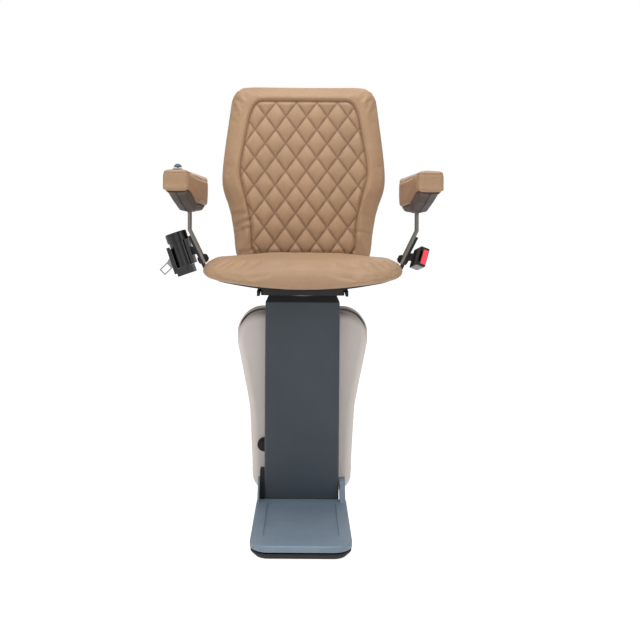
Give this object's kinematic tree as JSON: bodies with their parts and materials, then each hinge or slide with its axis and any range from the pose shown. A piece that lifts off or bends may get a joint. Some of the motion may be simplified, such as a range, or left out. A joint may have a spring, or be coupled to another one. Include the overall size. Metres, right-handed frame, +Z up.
{
  "type": "stairlift chair",
  "caption": "Stairlift chair with a quilted folding seat, folding arms, a lap belt, a tall leg, a folding footrest and a drive carriage that grips a twin-tube rail.",
  "frame": {"origin": "midway between the two rail tubes, on their common plane, in the middle of the carriage", "axes": "+X along the rail to the viewer's right, the chair faces -Y, +Z up"},
  "size_m": [0.6491, 0.605, 1.0249],
  "materials": {
    "leg_paint": "satin blue-grey powder coat",
    "black_plastic": "black moulded plastic",
    "gloss_black": "glossy black plastic",
    "black_steel": "black powder coat",
    "white_plastic": "warm white moulded plastic",
    "steel": "bare steel",
    "arm_steel": "satin steel",
    "nylon": "dark nylon",
    "gearbox_metal": "cast housing",
    "motor_metal": "black motor can",
    "battery_case": "battery case",
    "board": "circuit board",
    "leather": "tan leather",
    "underside": "dark brown lining",
    "foot_grey": "grey-blue footplate",
    "red": "red button",
    "stick_blue": "blue-grey knob",
    "stick_grey": "light grey plate"
  },
  "bodies": {
    "carriage": {"leg_column": "leg_paint", "leg_cap": "black_plastic", "spine": "black_steel", "thrust_washer": "steel", "leg_brackets": "black_steel", "front_cover": "white_plastic", "rear_cover": "white_plastic", "cover_screws": "white_plastic", "chassis_plate": "black_steel", "roller_axles": "steel", "gearbox": "gearbox_metal", "drive_motor": "motor_metal", "batteries": "battery_case", "control_board": "board", "switch_bezel": "black_plastic", "footrest_axle": "steel", "footrest_switch": "black_plastic"},
    "pinion": {"drive_pinion": "steel"},
    "roller_ul": {"roller_upper_left": "nylon"},
    "roller_ur": {"roller_upper_right": "nylon"},
    "roller_ll": {"roller_lower_left": "nylon"},
    "roller_lr": {"roller_lower_right": "nylon"},
    "main_switch": {"switch_knob": "black_plastic"},
    "seat": {"seat_base": "black_steel", "back_frame": "black_steel", "seat_hinge_pins": "steel", "backrest_shell": "black_plastic", "backrest_cushion": "leather", "arm_bracket_left": "black_steel", "arm_bracket_right": "black_steel", "arm_pivot_left": "black_plastic", "arm_pivot_right": "black_plastic", "reel_cap": "gloss_black", "reel_body": "gloss_black", "reel_base": "gloss_black", "reel_mount": "black_steel", "belt_tongue": "steel", "buckle_body": "gloss_black", "buckle_stalk": "black_steel"},
    "seat_folding": {"seat_cushion": "leather", "seat_pan": "black_plastic"},
    "lever_left": {"swivel_lever_left": "black_plastic"},
    "lever_right": {"swivel_lever_right": "black_plastic"},
    "arm_left": {"arm_bar_left": "arm_steel", "armrest_pad_left": "leather", "armrest_underside_left": "underside", "joystick_base": "stick_grey"},
    "arm_right": {"arm_bar_right": "arm_steel", "armrest_pad_right": "leather", "armrest_underside_right": "underside"},
    "joystick": {"joystick_knob": "stick_blue"},
    "buckle_release": {"buckle_button": "red"},
    "footrest": {"footplate": "foot_grey"},
    "underpan": {"safety_underpan": "black_plastic"}
  },
  "joints": [
    {"name": "seat_swivel", "type": "hinge", "parent": "carriage", "child": "seat", "pos_m": [0, -0.218, 0.26], "axis": [0, 0, 1], "range_deg": [-90, 90]},
    {"name": "seat_fold", "type": "hinge", "parent": "seat", "child": "seat_folding", "pos_m": [0, -0.088, 0.3], "axis": [-1, 0, 0], "range_deg": [0, 78]},
    {"name": "arm_left_fold", "type": "hinge", "parent": "seat", "child": "arm_left", "pos_m": [-0.24069, -0.144, 0.33195], "axis": [-0.898, 0, -0.4399], "range_deg": [0, 64]},
    {"name": "arm_right_fold", "type": "hinge", "parent": "seat", "child": "arm_right", "pos_m": [0.24069, -0.144, 0.33195], "axis": [-0.898, 0, 0.4399], "range_deg": [0, 64]},
    {"name": "footrest_fold", "type": "hinge", "parent": "carriage", "child": "footrest", "pos_m": [0, -0.235, -0.181], "axis": [-1, 0, 0], "range_deg": [0, 90]},
    {"name": "underpan_press", "type": "slide", "parent": "footrest", "child": "underpan", "axis": [0, 0, 1], "range_m": [0, 0.0032], "stiffness_N_per_m": 4000},
    {"name": "joystick_tilt", "type": "hinge", "parent": "arm_left", "child": "joystick", "pos_m": [-0.275, -0.318, 0.5352], "axis": [0, 1, 0], "range_deg": [-15, 15], "stiffness_Nm_per_rad": 0.05},
    {"name": "buckle_press", "type": "slide", "parent": "seat", "child": "buckle_release", "axis": [-0.2034, 0.9568, -0.2079], "range_m": [0, 0.004], "stiffness_N_per_m": 800},
    {"name": "lever_left_pull", "type": "hinge", "parent": "seat", "child": "lever_left", "pos_m": [-0.098, -0.27, 0.266], "axis": [-1, 0, 0], "range_deg": [0, 8], "stiffness_Nm_per_rad": 0.3},
    {"name": "lever_right_pull", "type": "hinge", "parent": "seat", "child": "lever_right", "pos_m": [0.098, -0.27, 0.266], "axis": [-1, 0, 0], "range_deg": [0, 8], "stiffness_Nm_per_rad": 0.3},
    {"name": "main_switch_turn", "type": "hinge", "parent": "carriage", "child": "main_switch", "pos_m": [-0.088, -0.2, -0.104], "axis": [0, 1, 0], "range_deg": [0, 90]},
    {"name": "pinion_spin", "type": "hinge", "parent": "carriage", "child": "pinion", "pos_m": [0, 0, 0.025], "axis": [0, 1, 0], "continuous": true},
    {"name": "roller_upper_left_spin", "type": "hinge", "parent": "carriage", "child": "roller_ul", "pos_m": [-0.07, 0, 0.1303], "axis": [0, 1, 0], "continuous": true},
    {"name": "roller_upper_right_spin", "type": "hinge", "parent": "carriage", "child": "roller_ur", "pos_m": [0.07, 0, 0.1303], "axis": [0, 1, 0], "continuous": true},
    {"name": "roller_lower_left_spin", "type": "hinge", "parent": "carriage", "child": "roller_ll", "pos_m": [-0.07, 0, -0.1303], "axis": [0, 1, 0], "continuous": true},
    {"name": "roller_lower_right_spin", "type": "hinge", "parent": "carriage", "child": "roller_lr", "pos_m": [0.07, 0, -0.1303], "axis": [0, 1, 0], "continuous": true}
  ]
}
